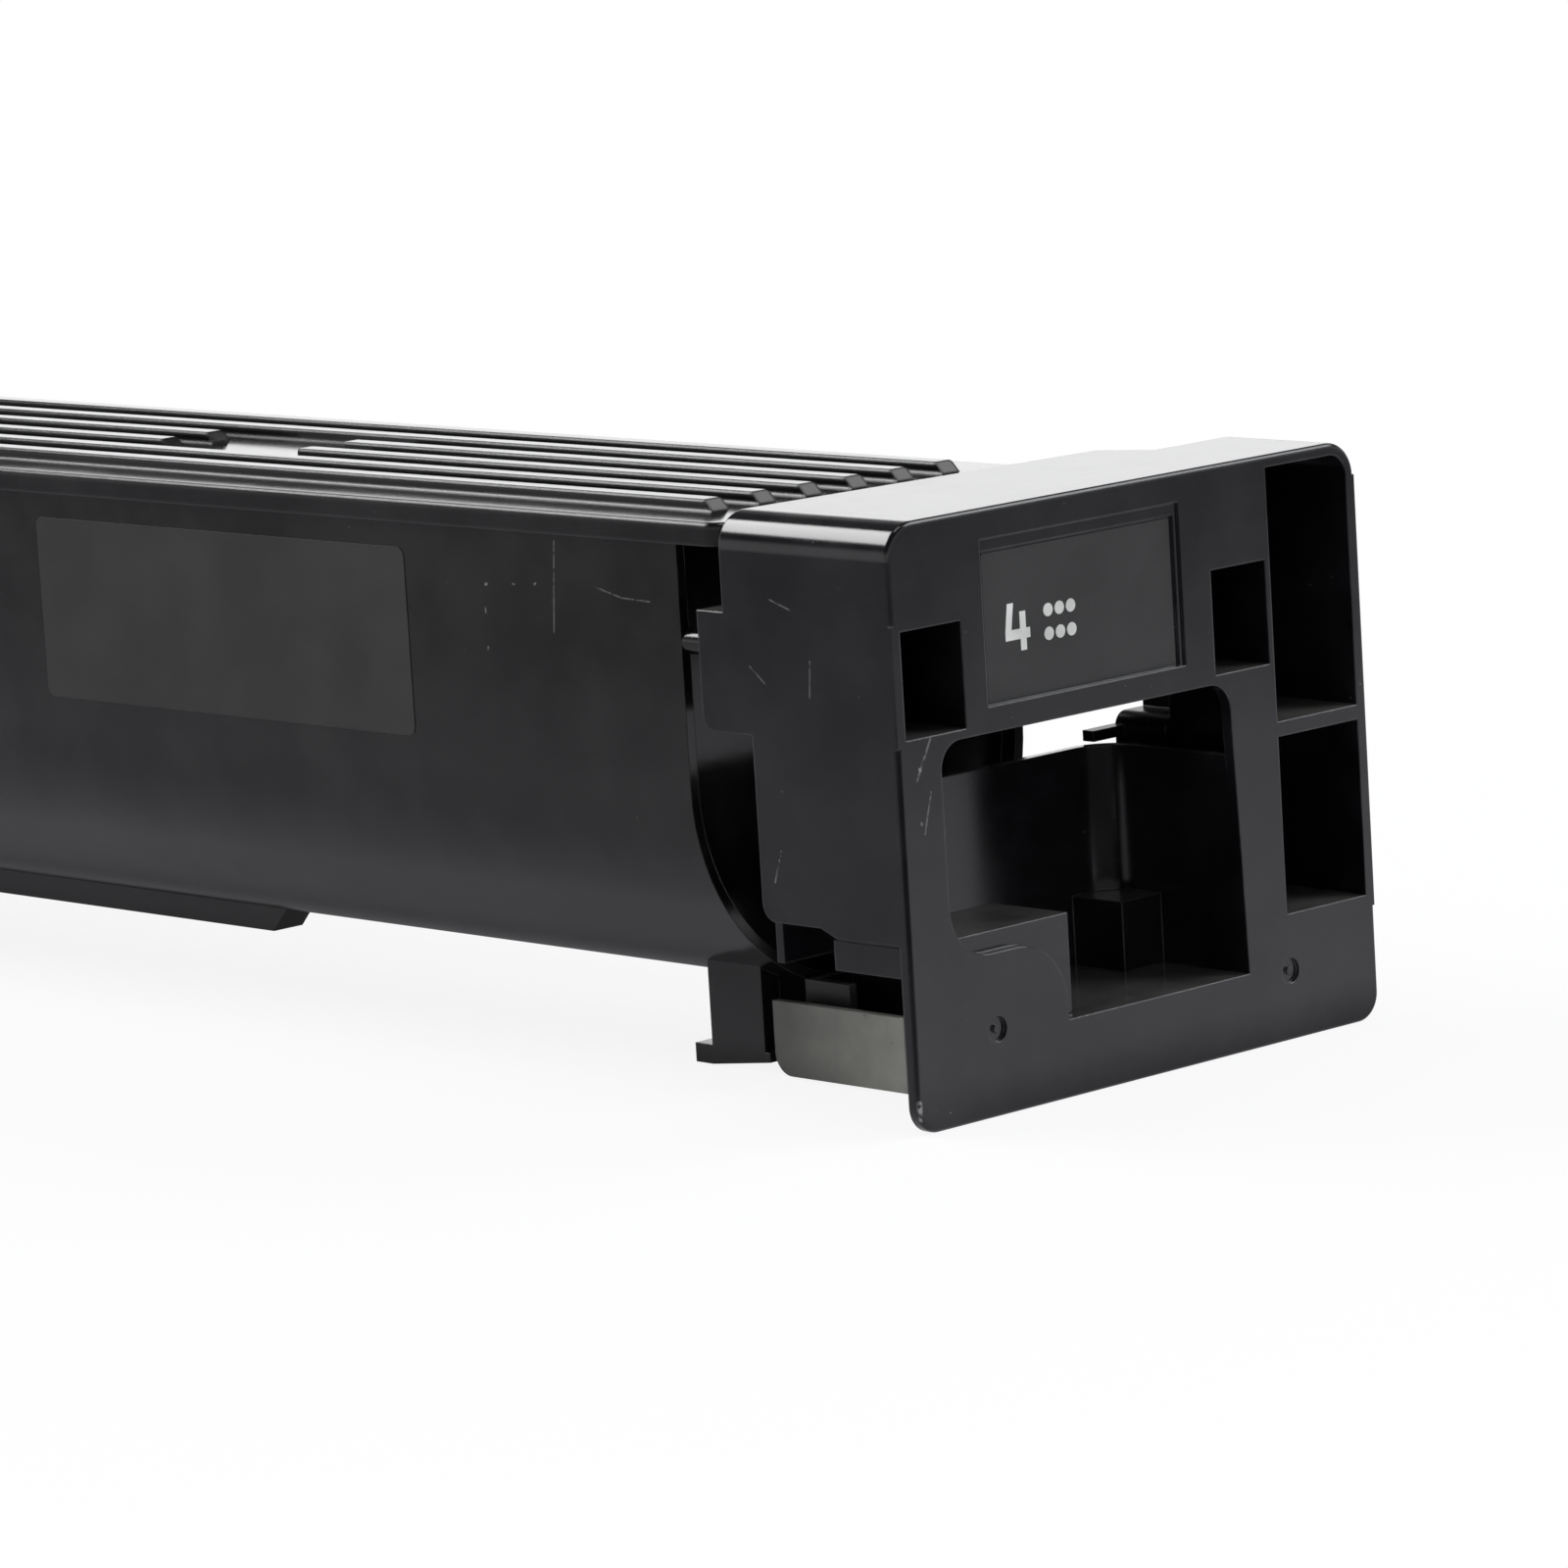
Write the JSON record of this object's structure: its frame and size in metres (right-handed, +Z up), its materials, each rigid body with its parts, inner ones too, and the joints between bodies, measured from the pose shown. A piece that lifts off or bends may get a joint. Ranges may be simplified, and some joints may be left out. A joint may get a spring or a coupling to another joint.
{
  "type": "toner cartridge",
  "caption": "Long toner cartridge: upright front cover with a hand grip and screw wells, round-bottomed hopper with a ribbed lid, sliding outlet shutter and a geared auger and agitator.",
  "frame": {"origin": "middle of the front face at the resting surface", "axes": "+X across the face towards the side of the tall pockets, +Y from the face to the rear cap, +Z up"},
  "size_m": [0.13, 0.47, 0.117],
  "materials": {
    "cover_plastic": "fine satin moulding",
    "hopper_plastic": "smooth satin",
    "lid_plastic": "glossy",
    "shutter_plastic": "translucent natural plastic",
    "inner_plastic": "matte black",
    "gear_plastic": "natural acetal",
    "film_plastic": "clear polyester film",
    "seal_foam": "closed-cell foam and felt",
    "steel": "zinc-plated",
    "board": "circuit board lacquer"
  },
  "bodies": {
    "housing": {"front_cover": "cover_plastic", "hopper_body": "hopper_plastic", "top_lid": "lid_plastic", "rear_cap": "cover_plastic", "outlet_housing": "inner_plastic", "outlet_seal": "seal_foam", "chip_holder": "inner_plastic", "memory_chip": "board", "filler_plug": "inner_plastic", "cover_screws": "steel", "outlet_screws": "steel", "rear_cap_screws": "steel", "auger_front_bush": "gear_plastic", "auger_rear_bush": "gear_plastic", "agitator_front_bush": "gear_plastic", "agitator_rear_bush": "gear_plastic", "auger_seal": "seal_foam", "agitator_seal": "seal_foam", "drive_spindle": "steel"},
    "shutter": {"outlet_shutter": "shutter_plastic"},
    "agitator": {"agitator_shaft": "inner_plastic", "agitator_film": "film_plastic", "agitator_gear": "gear_plastic"},
    "auger": {"auger": "inner_plastic", "auger_gear": "gear_plastic"},
    "drive": {"drive_coupling": "gear_plastic"}
  },
  "joints": [
    {"name": "shutter_slide", "type": "slide", "parent": "housing", "child": "shutter", "axis": [0, -1, 0], "range_m": [0, 0.022]},
    {"name": "agitator_spin", "type": "hinge", "parent": "housing", "child": "agitator", "pos_m": [-0.015, 0.25, 0.0675], "axis": [0, 1, 0], "continuous": true},
    {"name": "auger_spin", "type": "hinge", "parent": "housing", "child": "auger", "pos_m": [-0.015, 0.25, 0.0265], "axis": [0, 1, 0], "continuous": true},
    {"name": "drive_spin", "type": "hinge", "parent": "housing", "child": "drive", "pos_m": [0.014, 0.452, 0.08102], "axis": [0, 1, 0], "continuous": true}
  ],
  "couplings": [
    {"joint": "auger_spin", "follows": "agitator_spin", "ratio": -1.4118},
    {"joint": "drive_spin", "follows": "agitator_spin", "ratio": -3}
  ]
}
